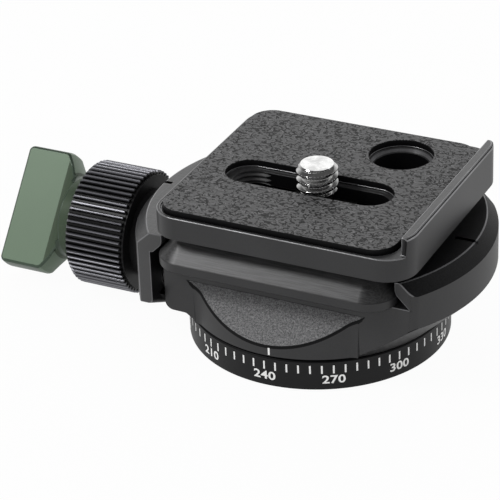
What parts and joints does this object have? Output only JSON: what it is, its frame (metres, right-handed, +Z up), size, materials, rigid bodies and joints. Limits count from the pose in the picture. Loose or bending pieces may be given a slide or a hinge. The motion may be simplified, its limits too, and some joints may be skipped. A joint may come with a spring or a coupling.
{
  "type": "panning clamp",
  "caption": "Round panning clamp on a scaled base, with a knurled jaw ring, a wing lock and a quick release plate in its jaws.",
  "frame": {"origin": "under the middle of the bounding box, on the underside of the base; the pan axis is 12.6 mm from it along +X", "axes": "+Z up along the pan axis, +X from the knobs to the fixed jaw, +Y away from the viewer of the picture"},
  "size_m": [0.0792, 0.04, 0.0287],
  "materials": {
    "black_anodised": "fine satin black anodising over machined aluminium, blasted in the scooped notch and on the bevel of the jaws",
    "green_anodised": "matt sage green anodising",
    "steel": "turned, bright",
    "brass": "turned",
    "pad_rubber": "matt, with a leather grain",
    "nylon": "smooth"
  },
  "bodies": {
    "base": {"base_disc": "black_anodised", "tripod_bush": "steel", "pan_spindle": "steel", "base_screw_1": "steel", "base_screw_2": "steel", "base_screw_3": "steel", "retainer_disc": "steel", "retainer_screw_1": "steel", "retainer_screw_2": "steel", "retainer_screw_3": "steel"},
    "clamp": {"clamp_body": "black_anodised", "glide_ring": "nylon", "upper_washer": "nylon", "clamp_stud": "steel", "stud_clip": "steel", "guide_pin_front": "steel", "guide_pin_back": "steel", "jaw_spring_front": "steel", "jaw_spring_back": "steel"},
    "jaw": {"moving_jaw": "black_anodised", "thrust_washer": "steel"},
    "ring": {"clamp_ring": "black_anodised", "ring_nut": "brass"},
    "lock": {"lock_pin": "brass"},
    "wing": {"wing_knob": "green_anodised", "lock_rod": "steel", "wing_cross_pin": "steel"},
    "plate": {"plate_deck": "black_anodised", "rubber_pad": "pad_rubber"},
    "carrier": {"screw_clip": "nylon"},
    "screw": {"camera_screw": "steel"}
  },
  "joints": [
    {"name": "pan_turn", "type": "hinge", "parent": "base", "child": "clamp", "pos_m": [0.0126, 0, 0], "axis": [0, 0, 1], "continuous": true},
    {"name": "jaw_slide", "type": "slide", "parent": "clamp", "child": "jaw", "axis": [1, 0, 0], "range_m": [-0.00215, 0.00035]},
    {"name": "ring_turn", "type": "hinge", "parent": "jaw", "child": "ring", "pos_m": [0, 0, 0.0098], "axis": [1, 0, 0], "range_deg": [-622, 102]},
    {"name": "lock_slide", "type": "slide", "parent": "clamp", "child": "lock", "axis": [1, 0, 0], "range_m": [-0.0003, 0.0004]},
    {"name": "lock_turn", "type": "hinge", "parent": "lock", "child": "wing", "pos_m": [0, 0, 0.0098], "axis": [1, 0, 0], "range_deg": [-109, 145]},
    {"name": "plate_slide", "type": "slide", "parent": "clamp", "child": "plate", "axis": [0, 1, 0], "range_m": [-0.04, 0.04]},
    {"name": "screw_slide", "type": "slide", "parent": "plate", "child": "carrier", "axis": [1, 0, 0], "range_m": [-0.0105, 0.0083]},
    {"name": "screw_turn", "type": "hinge", "parent": "carrier", "child": "screw", "pos_m": [0.0138, -0.0024, 0], "axis": [0, 0, 1], "continuous": true}
  ],
  "couplings": [
    {"joint": "ring_turn", "follows": "jaw_slide", "rad_per_m": 5026.5},
    {"joint": "lock_turn", "follows": "lock_slide", "rad_per_m": 6283.2}
  ]
}
